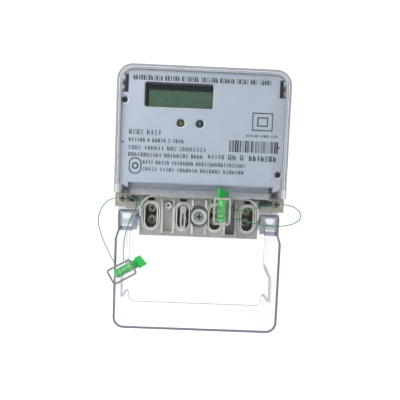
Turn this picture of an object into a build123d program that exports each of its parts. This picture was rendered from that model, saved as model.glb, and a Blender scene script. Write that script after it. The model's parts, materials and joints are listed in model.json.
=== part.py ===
from build123d import *
import math
import os

os.makedirs("parts", exist_ok=True)

# Frame: millimetres, +Z up the height of the meter, which hangs on a wall.
# The wall is the plane Y = 0 and the meter faces -Y. The origin lies on the
# wall, midway between the two fixing slots. A "depth" below is a distance
# from the wall, so depth d is the plane Y = -d.

# ---------------------------------------------------------------- dimensions
# Body
BODY_HALF_WIDTH = 66.0
BODY_BOTTOM = 12.0
BODY_TOP = 121.0
BODY_CORNER = 12.0
WALL = 2.0
JOINT_DEPTH = 24.0          # parting plane between base and front cover
FACE_DEPTH = 54.0           # main face of the front cover
WINDOW_DEPTH = 56.0         # raised window of the front cover
BAND_DEPTH = 47.0           # lower band of the front cover
CORNER_DEPTH = 46.2         # face of the two sealing corners
BAND_TOP = 29.9             # upper edge of the recessed band
BAND_HALF_WIDTH = 54.0
CORNER_TOP = 23.2
WINDOW_HALF_WIDTH = 55.0
WINDOW_BOTTOM = 33.0
WINDOW_TOP = 113.2

# Arch over the terminal block
ARCH_HALF_WIDTH = 47.8
ARCH_TOP = 22.4
ARCH_CORNER = 11.5

# Fixing lugs
SLOT_X = 62.0
SLOT_LENGTH = 8.4
SLOT_WIDTH = 6.0
LUG_THICK = 5.0
LUG_OUTER = 69.0
LUG_TOP = 7.6
LUG_BOTTOM = -8.0

# Terminal block
BLOCK_HALF_WIDTH = 47.0
BLOCK_BOTTOM = -10.7
BLOCK_TOP = 21.6
BLOCK_BACK = 2.2
BLOCK_DEPTH = 40.0
WELL_PITCH = 25.4
WELL_Z = 5.3
WELL_WIDTH = 9.2
WELL_HEIGHT = 19.4
RIM_WIDTH = 14.0
RIM_HEIGHT = 23.2
WELL_FLOOR = 19.3
RIB_POSITIONS = (-29.3, -20.2, -5.3, 5.3, 20.2, 29.3)
POCKET_X = 24.75

# Terminal clamps
SCREW_SPREAD = 4.9          # screw axes above and below the middle of a well
TUBE_AXIS_DEPTH = 13.0
TUBE_WIDTH = 10.4
TUBE_FRONT = 19.0
TUBE_BACK = 7.0
TUBE_BOTTOM = -6.4
TUBE_TOP = 17.6
TUBE_CAVITY = 8.0
CAVITY_FRONT = 17.2
CAVITY_BACK = 8.6
ENTRY_RADIUS = 4.0
SCREW_RADIUS = 2.5
SCREW_TRAVEL = 4.0
PAD_THICK = 1.2

# Terminal cover
COVER_DEPTH = 43.5
COVER_SKIN = 1.9
COVER_REAR = 2.0
COVER_HALF_FRONT = 65.6
COVER_HALF_REAR = 59.6
COVER_BOTTOM_FRONT = -86.0
COVER_BOTTOM_REAR = -77.0
SHOULDER_Z = -12.6
HOOD_TOP = 9.8
BOSS_Z = 5.9

# Seals
SEAL_LONG = 20.5
SEAL_WIDE = 13.1
SEAL_THICK = 10.0
SEAL_BORE = 3.6
ROTOR_RADIUS = 3.52
LEFT_SEAL = (-58.2, 49.5, -38.1)      # x, depth, z of its middle
LEFT_SEAL_TILT = 60.0                 # degrees from upright, towards +X
LEFT_FLAG_TURN = 0.0
LEFT_ROTOR_OUT = 2.2                  # how far the left core stands out of its body
RIGHT_SEAL = (17.1, 52.2, 12.4)
RIGHT_SEAL_TILT = 0.0
RIGHT_ROTOR_OUT = 0.0
RIGHT_FLAG_TURN = 225.0
SEALING_X = 60.2
SEALING_Z = 18.3
WIRE_DIAMETER = 0.8
WIRE_HOLE_DEPTH = 43.4

# Display, LEDs and board
PLATE_DEPTH = 50.0
LABEL_THICK = 0.25
STRIP_HOLES = ((-60.2, 94.3), (59.4, 41.6))     # x, z of a small hole in each side strip
LATCH_X = 57.6
LATCH_Z = (100.2, 113.6)
CARRIER_HALF_WIDTH = 63.2
CARRIER_TOP = 117.4
LCD_X = -18.7
LCD_Z = 98.7
LCD_WIDTH = 51.4
LCD_HEIGHT = 17.8
LED_Z = 78.2
LED_X = (-17.0, -2.4)
BOARD_BACK = 36.4
BOARD_FRONT = 38.0
BOARD_HALF_WIDTH = 56.0
BOARD_BOTTOM = 33.0
BOARD_TOP = 111.0
POST_X = 51.0
POST_Z = (37.5, 106.5)

# ------------------------------------------------------------------- helpers


def slab(sketch, back, front):
    """A sketch in X and Z, made solid between two depths."""
    return extrude(Plane.XZ.offset(back) * sketch, amount=front - back, dir=(0, -1, 0))


def block(x0, x1, back, front, z0, z1):
    """A plain box between two X, two depths and two Z."""
    middle = Pos((x0 + x1) / 2, -(back + front) / 2, (z0 + z1) / 2)
    return middle * Box(x1 - x0, front - back, z1 - z0)


def rod(x, z, radius, back, front):
    """A round rod square to the wall."""
    return slab(Pos(x, z) * Circle(radius), back, front)


def stadium(width, height):
    """An upright slot shape."""
    return RectangleRounded(width, height, width / 2 - 0.001)


def rounded(x0, x1, z0, z1, radius):
    return Pos((x0 + x1) / 2, (z0 + z1) / 2) * RectangleRounded(x1 - x0, z1 - z0, radius)


def cross_recess(x, z, size, back, front):
    """The cross-shaped driver recess of a screw head."""
    arm = size * 0.26
    cross = Rectangle(size, arm) + Rectangle(arm, size)
    return slab(Pos(x, z) * cross, back, front)


def save(shape, name):
    export_step(shape, f"parts/{name}.step")


def body_outline(inset):
    """Outline of the body in X and Z, with the arch left out, inset all round."""
    half = BODY_HALF_WIDTH - inset
    low = BODY_BOTTOM + inset
    high = BODY_TOP - inset
    corner = BODY_CORNER - inset
    outline = rounded(-half, half, low - 20, high, corner)
    outline -= Pos(0, low - 30) * Rectangle(2 * half + 10, 60)
    return outline - arch_outline(inset)


def arch_outline(grow):
    half = ARCH_HALF_WIDTH + grow
    return rounded(-half, half, ARCH_TOP - 60, ARCH_TOP + grow, ARCH_CORNER + grow)


# ----------------------------------------------------------------- base case


def make_base_case():
    tray = slab(body_outline(0), 0, JOINT_DEPTH)
    tray += slab(body_outline(-1.4) - arch_outline(0), JOINT_DEPTH - 5, JOINT_DEPTH - 1)
    tray -= slab(body_outline(WALL), 2.2, JOINT_DEPTH + 1)
    tray += block(-BLOCK_HALF_WIDTH, BLOCK_HALF_WIDTH, 0, 2.2, BLOCK_BOTTOM, ARCH_TOP + 1)
    for side in (-1, 1):
        tray += make_lug(side)
        tray += rod(side * SEALING_X, SEALING_Z, 4.2, 1, JOINT_DEPTH)
        tray -= rod(side * SEALING_X, SEALING_Z, 3.0, 10, JOINT_DEPTH + 1)
        for z in POST_Z:
            tray += rod(side * POST_X, z, 3.2, 1, BOARD_BACK)
            tray -= rod(side * POST_X, z, 1.3, BOARD_BACK - 9, BOARD_BACK + 1)
    for x in well_positions():
        tray -= block(x - 4.2, x + 4.2, 11.0, 15.0, ARCH_TOP - 3, ARCH_TOP + 5)
    tray -= gasket_ring(0)
    # Keyhole for the upper hanging screw, in a closed pocket in the back
    pocket = block(-9, 9, 2, 8, 92, 112)
    tray += pocket
    tray -= block(-7.5, 7.5, 1.8, 6.5, 93.5, 110.5)
    tray -= rod(0, 98, 4.6, -1, 2.5)
    tray -= slab(Pos(0, 102.5) * stadium(4.8, 13.8), -1, 2.5)
    return tray


def make_lug(side):
    """One slotted fixing lug, with the notch that the terminal cover's wall enters."""
    x0, x1 = BLOCK_HALF_WIDTH + 0.1, LUG_OUTER
    lug = slab(rounded(x0 - 6, x1, LUG_BOTTOM, LUG_TOP, 2.0), 0, LUG_THICK)
    lug -= block(x0 - 10, x0, 2.2, LUG_THICK + 1, -20, 20)
    lug -= slab(Pos(SLOT_X, 0) * RectangleRounded(SLOT_LENGTH, SLOT_WIDTH, 2.99), -1, LUG_THICK + 1)
    lug -= rod(51.8, 0.2, 2.5, 1.6, LUG_THICK + 1)
    lug -= block(57.0, 60.4, 1.2, LUG_THICK + 1, LUG_BOTTOM - 1, LUG_BOTTOM + 1.8)
    if side < 0:
        lug = mirror(lug, about=Plane.YZ)
    return lug


def make_case_rivets():
    """Two rivets sunk in the lugs, beside the terminal block."""
    return Compound([rod(side * 51.8, 0.2, 2.4, 1.6, LUG_THICK - 0.4) for side in (-1, 1)])


def gasket_ring(slack):
    ring = body_outline(0.5 + slack) - body_outline(1.5 - slack)
    return slab(ring, JOINT_DEPTH - 0.8, JOINT_DEPTH)


# --------------------------------------------------------------- front cover


def make_front_cover():
    cover = slab(body_outline(0), JOINT_DEPTH, FACE_DEPTH)
    cover -= band_recess(0)
    cover -= block(-80, 80, CORNER_DEPTH, 70, 0, CORNER_TOP)
    cavity = slab(body_outline(WALL), JOINT_DEPTH - 1, FACE_DEPTH - WALL)
    cavity -= band_recess(1.4)
    # The sealing corners are solid
    cavity -= block(-80, 80, 38, 70, 0, CORNER_TOP + WALL)
    cover -= cavity
    cover += slab(window_outline(0), FACE_DEPTH, WINDOW_DEPTH)
    cover -= slab(window_outline(WALL), FACE_DEPTH - WALL - 1, WINDOW_DEPTH - WALL)
    for side in (-1, 1):
        cover += rod(side * SEALING_X, SEALING_Z, 4.4, JOINT_DEPTH, 40)
        cover -= rod(side * SEALING_X, SEALING_Z, 2.1, JOINT_DEPTH - 1, 50)
        cover -= rod(side * SEALING_X, SEALING_Z, 3.8, 40.8, 50)
        cover -= wire_passage(side)
        cover += ledge_ribs(side)
        x0, x1 = sorted((side * 48.6, side * 57.6))
        cover += block(x0, x1, 40.0, CORNER_DEPTH, 10.9, BODY_BOTTOM + 1)
    # Two moulded lines across the band
    for z in (27.6, 25.0):
        cover += block(-BAND_HALF_WIDTH, BAND_HALF_WIDTH, BAND_DEPTH - 0.5, BAND_DEPTH + 0.4, z - 0.4, z + 0.4)
    return cover


def band_recess(grow):
    """The step across the cover's front, below its window."""
    half = BAND_HALF_WIDTH + grow
    return block(-half, half, BAND_DEPTH - grow, 70, 0, BAND_TOP + grow)


def window_outline(inset):
    half = WINDOW_HALF_WIDTH - inset
    return rounded(-half, half, WINDOW_BOTTOM + inset, WINDOW_TOP - inset, 6.0 - inset)


def wire_passage(side):
    """Cross hole from the side of the body, its deep inner mouth and a shallow groove."""
    hole = Pos(side * 62, -WIRE_HOLE_DEPTH, SEALING_Z) * Rot(0, 90, 0) * Cylinder(1.3, 12)
    x0, x1 = sorted((side * 57.0, side * 53.4))
    mouth = block(x0, x1, 42.0, 50, 16.4, 20.6)
    x0, x1 = sorted((side * 54.0, side * 46.0))
    return hole + mouth + block(x0, x1, 44.2, 50, 16.0, 21.4)


def ledge_ribs(side):
    """Low rail round each sealing corner."""
    x0, x1 = sorted((side * 49.5, side * 63.6))
    return block(x0, x1, CORNER_DEPTH - 0.2, CORNER_DEPTH + 0.5, 22.3, 23.0)


# ----------------------------------------------------- display and nameplate


def led_holes(radius, back, front):
    holes = rod(LED_X[0], LED_Z, radius, back, front)
    return holes + rod(LED_X[1], LED_Z, radius, back, front)


def lcd_window(grow, back, front):
    shape = RectangleRounded(LCD_WIDTH + grow, LCD_HEIGHT + grow, 1.2)
    return slab(Pos(LCD_X, LCD_Z) * shape, back, front)


def latch_recesses(grow, back):
    """The two openings in the upper corners of the plate, where the cover latches."""
    low, high = LATCH_Z
    recesses = []
    for side in (-1, 1):
        x0, x1 = sorted((side * (LATCH_X - grow), side * 70))
        recesses.append(block(x0, x1, back, 60, low - grow, high + grow))
    return Compound(recesses)


def strip_holes(radius, back):
    holes = [rod(x, z, radius, back, 60) for x, z in STRIP_HOLES]
    return Compound(holes)


def make_carrier():
    plate = slab(carrier_outline(0), 48.4, PLATE_DEPTH)
    plate += slab(carrier_outline(0) - carrier_outline(1.4), 40.0, 48.5)
    plate += lcd_window(4.0, 47.6, PLATE_DEPTH)
    plate -= lcd_window(0.0, 40, 60)
    plate -= window_bevel()
    plate -= led_holes(3.0, 40, 60)
    plate -= latch_recesses(0, 39)
    plate -= strip_holes(2.3, 46)
    # Skirt behind the band of the cover, which hides the current circuit
    plate += block(-53.4, 53.4, 42.0, 44.0, 25.5, 33.0)
    for side in (-1, 1):
        plate += latch_shelf(side)
    for side in (-1, 1):
        for x, z in ((42, 36.5), (53, 72)):
            plate += rod(side * x, z, 2.4, BOARD_FRONT, 48.5)
    return plate


def window_bevel():
    """Sloping edge round the display opening."""
    inner = Pos(LCD_X, LCD_Z) * RectangleRounded(LCD_WIDTH, LCD_HEIGHT, 1.2)
    outer = Pos(LCD_X, LCD_Z) * RectangleRounded(LCD_WIDTH + 1.8, LCD_HEIGHT + 1.8, 2.1)
    return loft([Plane.XZ.offset(PLATE_DEPTH - 0.9) * inner, Plane.XZ.offset(PLATE_DEPTH) * outer], ruled=True)


def latch_shelf(side):
    """Shelf across a latch recess, with two faceted wedges on its outer half."""
    low, high = LATCH_Z
    x0, x1 = sorted((side * LATCH_X, side * CARRIER_HALF_WIDTH))
    shelf = block(x0, x1, 41.0, 43.0, low - 0.4, high + 0.4)
    for z in (102.0, 108.2):
        near = side * 60.8
        far = side * 63.0
        flat = make_face(Polyline((near, z), (far, z), (far, z + 4.4), (near, z + 4.4), close=True))
        ridge = Plane.XZ.offset(43) * flat
        shelf += loft([ridge, Plane.XZ.offset(46) * (Pos(side * 61.6, z + 2.2) * Rectangle(0.9, 0.9))], ruled=True)
    return shelf & slab(carrier_outline(0), 40.0, 47.0)


def make_latch_springs():
    """Dark leaf springs in the latch recesses, each with two arms towards the side."""
    springs = []
    for side in (-1, 1):
        x0, x1 = sorted((side * (LATCH_X + 0.1), side * 60.5))
        spring = block(x0, x1, 43.0, 46.6, LATCH_Z[0] + 0.3, LATCH_Z[1] - 0.3)
        x0, x1 = sorted((side * 60.0, side * 63.0))
        for z in (100.6, 106.8):
            spring += block(x0, x1, 43.0, 46.2, z, z + 1.0)
        springs.append(spring)
    return Compound(springs)


def carrier_outline(inset):
    """The carrier with a strip down each side that reaches below its middle."""
    half = CARRIER_HALF_WIDTH - inset
    outline = rounded(-half, half, 27.6 + inset, CARRIER_TOP - inset, 8.6 - inset)
    return outline - Pos(0, 20) * Rectangle(2 * (56 + inset), 2 * (11.6 + inset))


def make_label():
    """Printed film over the whole face of the carrier."""
    label = slab(carrier_outline(0.8), PLATE_DEPTH, PLATE_DEPTH + LABEL_THICK)
    label -= lcd_window(2.2, 49, 60)
    label -= led_holes(3.2, 49, 60)
    label -= latch_recesses(0.4, 49)
    return label - strip_holes(2.6, 49)


def make_lcd_glass():
    return block(LCD_X - 27.6, LCD_X + 27.6, 44.6, 47.3, LCD_Z - 11.2, LCD_Z + 11.2)


def make_lcd_frame():
    frame = block(LCD_X - 29.6, LCD_X + 29.6, BOARD_FRONT, 47.3, LCD_Z - 11.9, LCD_Z + 11.9)
    frame -= block(LCD_X - 27.7, LCD_X + 27.7, 44.6, 50, LCD_Z - 11.3, LCD_Z + 11.3)
    frame -= block(LCD_X - 25.0, LCD_X + 25.0, 42.0, 50, LCD_Z - 7.4, LCD_Z + 7.4)
    for side in (-1, 1):
        z = LCD_Z + side * 9.4
        frame -= block(LCD_X - 25.0, LCD_X + 25.0, 30, 50, z - 1.1, z + 1.1)
    return frame


def make_lcd_contacts():
    strips = []
    for side in (-1, 1):
        z = LCD_Z + side * 9.4
        strips.append(block(LCD_X - 24.8, LCD_X + 24.8, BOARD_FRONT, 44.6, z - 0.9, z + 0.9))
    return Compound(strips)


def make_led(x):
    led = rod(x, LED_Z, 2.9, BOARD_FRONT + 4, BOARD_FRONT + 5)
    led += rod(x, LED_Z, 2.5, BOARD_FRONT + 4, 47.4)
    led += Pos(x, -47.4, LED_Z) * Sphere(2.5)
    for side in (-1, 1):
        led += rod(x + side * 1.27, LED_Z, 0.25, BOARD_FRONT, BOARD_FRONT + 4.2)
    return led


# -------------------------------------------------------------- circuit board


def make_board():
    board = slab(rounded(-BOARD_HALF_WIDTH, BOARD_HALF_WIDTH, BOARD_BOTTOM, BOARD_TOP, 2.0),
                 BOARD_BACK, BOARD_FRONT)
    for side in (-1, 1):
        for z in POST_Z:
            board -= rod(side * POST_X, z, 1.6, 30, 40)
    return board


def make_board_screws():
    screws = []
    for side in (-1, 1):
        for z in POST_Z:
            screw = rod(side * POST_X, z, 2.6, BOARD_FRONT, BOARD_FRONT + 1.8)
            screw += rod(side * POST_X, z, 1.3, BOARD_BACK - 8, BOARD_FRONT + 0.5)
            screw -= cross_recess(side * POST_X, z, 3.0, BOARD_FRONT + 0.9, 50)
            screws.append(screw)
    return Compound(screws)


def make_chip(x, z, half, legs):
    """A flat chip on the front of the board, with gull-wing legs on all sides."""
    chip = block(x - half, x + half, BOARD_FRONT + 0.2, BOARD_FRONT + 1.6, z - half, z + half)
    pitch = 2 * half / (legs + 1)
    for i in range(legs):
        step = -half + pitch * (i + 1)
        chip += block(x + step - 0.2, x + step + 0.2, BOARD_FRONT, BOARD_FRONT + 0.5,
                      z - half - 1, z + half + 1)
        chip += block(x - half - 1, x + half + 1, BOARD_FRONT, BOARD_FRONT + 0.5,
                      z + step - 0.2, z + step + 0.2)
    return chip


def make_crystal():
    can = slab(Pos(38, 62) * RectangleRounded(11, 4.6, 2.2), BOARD_FRONT, BOARD_FRONT + 3.6)
    return can + slab(Pos(38, 62) * RectangleRounded(12, 5.4, 2.6), BOARD_FRONT, BOARD_FRONT + 0.5)


def make_film_capacitor():
    case = block(-44, -18, BOARD_BACK - 18, BOARD_BACK, 84, 95)
    return fillet(case.edges().filter_by(Axis.Y), 0.8)


def make_electrolytics():
    cans = []
    for x in (22, 36):
        can = rod(x, 88, 5.0, BOARD_BACK - 17, BOARD_BACK)
        can -= rod(x, 88, 6.0, BOARD_BACK - 3.4, BOARD_BACK - 2.6) - rod(x, 88, 4.6, 10, 40)
        cans.append(can)
    return Compound(cans)


def make_varistor():
    disc = Pos(-2, -(BOARD_BACK - 9.5), 88) * Rot(0, 90, 0) * Cylinder(7.5, 4.2)
    for side in (-1, 1):
        disc += rod(-2, 88 + side * 3.75, 0.5, BOARD_BACK - 7, BOARD_BACK)
    return disc


# ------------------------------------------------------------ current circuit


def well_positions():
    return [WELL_PITCH * (i - 1.5) for i in range(4)]


def bar_legs(left, right, top):
    """Two flat bars that rise from two terminal tubes."""
    bars = block(left - 3.4, left + 3.4, 12.0, 14.0, TUBE_TOP, top)
    return bars + block(right - 3.4, right + 3.4, 12.0, 14.0, TUBE_TOP, top)


def make_phase_shunt():
    left, right = well_positions()[:2]
    shunt = bar_legs(left, right, 44)
    shunt += block(left - 3.4, right + 3.4, 12.0, 14.0, 40, 48)
    middle = (left + right) / 2
    shunt -= block(middle - 4, middle + 4, 0, 30, 46.4, 50)
    for side in (-1, 1):
        shunt += rod(middle + side * 6, 44, 0.6, 13.5, BOARD_BACK)
    return shunt


def make_neutral_link():
    left, right = well_positions()[2:]
    link = bar_legs(left, right, 58)
    return link + block(left - 3.4, right + 3.4, 12.0, 14.0, 52, 59)


def make_current_transformer():
    """A toroid round the first leg of the neutral link."""
    x = well_positions()[2]
    coil = Pos(x, -13, 40) * (Cylinder(10.5, 9) - Cylinder(4.2, 9))
    coil = fillet(coil.edges().filter_by(GeomType.CIRCLE), 1.2)
    for side in (-1, 1):
        coil += rod(x + side * 4, 40, 0.6, 20.5, BOARD_BACK)
    return coil


# ------------------------------------------------------------- terminal block


def make_terminal_block():
    outline = rounded(-BLOCK_HALF_WIDTH, BLOCK_HALF_WIDTH, BLOCK_BOTTOM - 20, BLOCK_TOP, ARCH_CORNER - 0.8)
    outline -= Pos(0, BLOCK_BOTTOM - 30) * Rectangle(120, 60)
    body = slab(outline, BLOCK_BACK, BLOCK_DEPTH)
    for x in well_positions():
        body += well_rims(x)
        body -= slab(Pos(x, WELL_Z) * stadium(WELL_WIDTH, WELL_HEIGHT), WELL_FLOOR, 60)
        body -= tube_cavity(x)
        body -= slab(Pos(x, 18.3) * Rectangle(5.2, 2.6), 35, 60)
    for x in (-POCKET_X, POCKET_X):
        body -= slab(Pos(x, 4.6) * RectangleRounded(7.4, 25.0, 0.6), 31, 60)
    body += rod(-POCKET_X, 13.4, 2.8, 30.5, 38.0) - rod(-POCKET_X, 13.4, 1.3, 30, 40)
    body -= slab(Pos(0, BOSS_Z) * stadium(13.4, 18.0), 33.8, 60)
    body -= rod(0, BOSS_Z, 2.8, 24, 40)
    for x in RIB_POSITIONS:
        rib = block(x - 0.7, x + 0.7, BLOCK_DEPTH - 1, BLOCK_DEPTH + 1.6, BLOCK_BOTTOM + 2.6, BLOCK_TOP - 2.4)
        body += rib - slab(Pos(0, BOSS_Z) * stadium(13.4, 18.0), 33.8, 60)
    return body


def well_rims(x):
    """Two thin rings that stand round the mouth of a well."""
    rims = stadium(RIM_WIDTH, RIM_HEIGHT) - stadium(RIM_WIDTH - 1.4, RIM_HEIGHT - 1.4)
    rims += stadium(WELL_WIDTH + 1.6, WELL_HEIGHT + 1.6) - stadium(WELL_WIDTH, WELL_HEIGHT)
    return slab(Pos(x, WELL_Z) * rims, BLOCK_DEPTH - 0.5, BLOCK_DEPTH + 1.2)


def tube_cavity(x):
    """Room for one brass tube, open at the back, with the conductor entry below."""
    half = TUBE_WIDTH / 2 + 0.05
    room = block(x - half, x + half, 0, TUBE_FRONT, TUBE_BOTTOM, TUBE_TOP)
    room += Pos(x, -TUBE_AXIS_DEPTH, BLOCK_BOTTOM) * Cylinder(ENTRY_RADIUS, 12)
    room += block(x - 3.6, x + 3.6, 0, 14.2, TUBE_TOP - 1, BLOCK_TOP + 1)
    for side in (-1, 1):
        room += rod(x, WELL_Z + side * SCREW_SPREAD, 3.5, TUBE_FRONT - 1, WELL_FLOOR + 1)
    return room


def make_terminal_tube(x):
    half = TUBE_WIDTH / 2
    tube = block(x - half, x + half, TUBE_BACK, TUBE_FRONT, TUBE_BOTTOM, TUBE_TOP)
    tube -= block(x - TUBE_CAVITY / 2, x + TUBE_CAVITY / 2, CAVITY_BACK, CAVITY_FRONT,
                  TUBE_BOTTOM - 1, TUBE_TOP - 1.6)
    for side in (-1, 1):
        tube -= rod(x, WELL_Z + side * SCREW_SPREAD, SCREW_RADIUS + 0.05, CAVITY_FRONT - 1, 30)
    return tube


def make_clamp_pad(x, z):
    """Pressure plate, at rest against the front wall of the tube."""
    back = CAVITY_FRONT - 0.2 - PAD_THICK
    pad = block(x - 3.8, x + 3.8, back, back + PAD_THICK, z - 4.2, z + 4.2)
    return pad - rod(x, z, 1.3, back - 1, back + PAD_THICK + 1)


def make_terminal_screw(x, z):
    """Cheese-head screw backed out by its travel, its tip riveted in the pad."""
    seat = TUBE_FRONT + SCREW_TRAVEL + 0.3
    tip = CAVITY_FRONT - 0.15
    screw = rod(x, z, 3.4, seat, seat + 3.2)
    screw += rod(x, z, SCREW_RADIUS, tip, seat + 1)
    screw += rod(x, z, 1.25, tip - PAD_THICK, tip + 1)
    screw -= cross_recess(x, z, 4.6, seat + 1.2, seat + 5)
    return screw


# -------------------------------------------------------------- terminal cover


def tapered_box(inset):
    """The lower box of the cover, narrower at the wall than at the front."""
    top = SHOULDER_Z if inset == 0 else SHOULDER_Z + 2.1
    sections = []
    for depth, half, bottom, corner in (
            (COVER_REAR, COVER_HALF_REAR, COVER_BOTTOM_REAR, 6.5),
            (COVER_DEPTH, COVER_HALF_FRONT, COVER_BOTTOM_FRONT, 8.5)):
        shape = rounded_bottom(half - inset, bottom + inset, top, corner - inset)
        sections.append(Plane.XZ.offset(depth) * shape)
    box = loft(sections, ruled=True)
    if inset:
        box -= block(-90, 90, COVER_DEPTH - COVER_SKIN, 60, -120, 40)
        box += slab(rounded_bottom(COVER_HALF_REAR - inset, COVER_BOTTOM_REAR + inset, top, 5.0), 1,
                    COVER_REAR + 0.01)
    return box


def rounded_bottom(half, bottom, top, corner):
    """A flat-topped shape with its two lower corners rounded."""
    with BuildSketch() as sketch:
        with BuildLine():
            Polyline((-half, bottom + corner), (-half, top), (half, top), (half, bottom + corner))
            RadiusArc((half, bottom + corner), (half - corner, bottom), corner)
            Line((half - corner, bottom), (-half + corner, bottom))
            RadiusArc((-half + corner, bottom), (-half, bottom + corner), corner)
        make_face()
    return sketch.sketch


def hood(inset):
    """The upper box of the cover, which flares back to close over the fixing lugs."""
    rear = hood_section(LUG_OUTER - 0.3 - inset, LUG_TOP - inset, 66.6 - inset, SHOULDER_Z + inset)
    front = hood_section(63.6 - inset, HOOD_TOP - inset, 66.0 - inset, SHOULDER_Z + inset)
    rear_depth = LUG_THICK + 0.3
    box = loft([Plane.XZ.offset(rear_depth) * rear, Plane.XZ.offset(COVER_DEPTH) * front], ruled=True)
    if inset:
        box -= block(-90, 90, COVER_DEPTH - COVER_SKIN, 60, -120, 40)
        box += slab(rear, rear_depth - 1, rear_depth + 0.01)
    return box


def hood_section(half, top, low_half, low):
    """Six-sided section whose lower corners splay out to the shoulders."""
    return Polygon((half, top), (-half, top), (-half, -7.6), (-low_half, low), (low_half, low), (half, -7.6),
                   align=None)


def make_terminal_cover():
    cover = tapered_box(0) + hood(0)
    # Room for the block, whose sides pass inside the hood's top wall
    cover -= block(-48.0, 48.0, -1, COVER_DEPTH - COVER_SKIN, -30, 40)
    cover -= tapered_box(1.7)
    cover -= hood(1.7)
    tongue = rounded(-47.0, 47.0, -20, BLOCK_TOP + 0.2, ARCH_CORNER - 0.8)
    cover += slab(tongue, COVER_DEPTH - COVER_SKIN, COVER_DEPTH)
    rail = tongue - rounded(-45.6, 45.6, -30, BLOCK_TOP - 1.2, ARCH_CORNER - 2.2)
    rail -= Pos(0, -15) * Rectangle(120, 40)
    cover += slab(rail, COVER_DEPTH - 0.5, COVER_DEPTH + 0.8)
    cover += screw_boss()
    cover -= rod(0, BOSS_Z, 1.8, 20, 60)
    cover -= rod(0, BOSS_Z, 3.8, 42.2, 60)
    for side in (-1, 1):
        cover -= side_notch(side)
        cover += well_window_post(side)
    # Slot that the clear guard is clipped into
    x = well_positions()[1]
    cover -= slab(Pos(x, WELL_Z) * RectangleRounded(3.3, 17.1, 0.8), 30, 60)
    return cover


def screw_boss():
    boss = slab(Pos(0, BOSS_Z) * stadium(12.4, 15.4), 39.0, COVER_DEPTH)
    ring = Circle(6.1) - Circle(5.0)
    return boss + slab(Pos(0, BOSS_Z) * ring, COVER_DEPTH - 0.5, COVER_DEPTH + 1.0)


def well_window_post(side):
    """Short stiffening rib under the shoulder, on the inside of the skin."""
    x0, x1 = sorted((side * 50.0, side * 51.4))
    return block(x0, x1, 37.5, COVER_DEPTH - COVER_SKIN + 0.1, -10, 7.5)


def side_notch(side):
    """Cable notch in the side wall, open at the back, with a swept upper end."""
    with BuildSketch(Plane.YZ.offset(side * 62)) as sketch:
        with BuildLine():
            Polyline((0, -38.0), (4, -38.5), (4, -65.5), (-22.0, -65.5), (-22.0, -49.0))
            Spline((-22.0, -49.0), (-12.0, -43.5), (0, -38.0), tangents=((0.1, 1), (1, 0.3)))
        make_face()
    return extrude(sketch.sketch, amount=10, both=True)


def make_link_guard():
    """Clear two-legged tongue that fills its slot and reaches into the second well."""
    x = well_positions()[1]
    guard = slab(Pos(x, WELL_Z) * RectangleRounded(3.2, 17.0, 0.75), 30.0, COVER_DEPTH + 0.6)
    guard -= slab(Pos(x, WELL_Z - 2.4) * RectangleRounded(1.2, 9.8, 0.5), 20, 60)
    guard += slab(Pos(x, WELL_Z) * RectangleRounded(4.2, 18.0, 1.2), COVER_DEPTH, COVER_DEPTH + 0.6)
    guard -= slab(Pos(x, WELL_Z - 2.4) * RectangleRounded(1.2, 9.8, 0.5), 20, 60)
    return guard


def make_cover_screw():
    screw = rod(0, BOSS_Z, 3.1, 42.3, 44.4)
    screw += rod(0, BOSS_Z, 1.75, 27.0, 42.5)
    screw -= cross_recess(0, BOSS_Z, 4.4, 43.0, 50)
    # Groove that the ring sits in
    groove = rod(0, BOSS_Z, 3, 34.3, 35.3) - rod(0, BOSS_Z, 1.45, 30, 40)
    return screw - groove


def make_cover_screw_ring():
    return rod(0, BOSS_Z, 3.0, 34.4, 35.2) - rod(0, BOSS_Z, 1.5, 30, 40)


def make_cover_screw_insert():
    return rod(0, BOSS_Z, 2.8, 24.0, 33.8) - rod(0, BOSS_Z, 1.8, 26.0, 40)


# -------------------------------------------------------------- sealing screws


def make_sealing_screw(side):
    x = side * SEALING_X
    screw = rod(x, SEALING_Z, 3.4, 40.9, 46.0)
    screw += rod(x, SEALING_Z, 1.9, 12.5, 41.5)
    screw -= cross_recess(x, SEALING_Z, 4.8, 44.9, 50)
    screw -= Pos(x, -WIRE_HOLE_DEPTH, SEALING_Z) * Rot(0, 90, 0) * Cylinder(1.1, 10)
    return screw


def make_sealing_inserts():
    inserts = []
    for side in (-1, 1):
        x = side * SEALING_X
        insert = rod(x, SEALING_Z, 3.0, 10.0, 22.0) - rod(x, SEALING_Z, 1.9, 12.0, 30)
        inserts.append(insert)
    return Compound(inserts)


# ------------------------------------------------------------------ wire seals


def place_seal(shape, middle, tilt):
    """Stand a seal, made upright about the Z axis, at its place and tilt."""
    x, depth, z = middle
    return Pos(x, -depth, z) * Rot(0, tilt, 0) * shape


def make_seal_body(middle, tilt):
    box = Box(SEAL_WIDE, SEAL_THICK, SEAL_LONG)
    box = fillet(box.edges().filter_by(Axis.Z), 2.6)
    box -= Pos(0, 0, 1.5) * Cylinder(SEAL_BORE, SEAL_LONG)
    return place_seal(box, middle, tilt)


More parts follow.
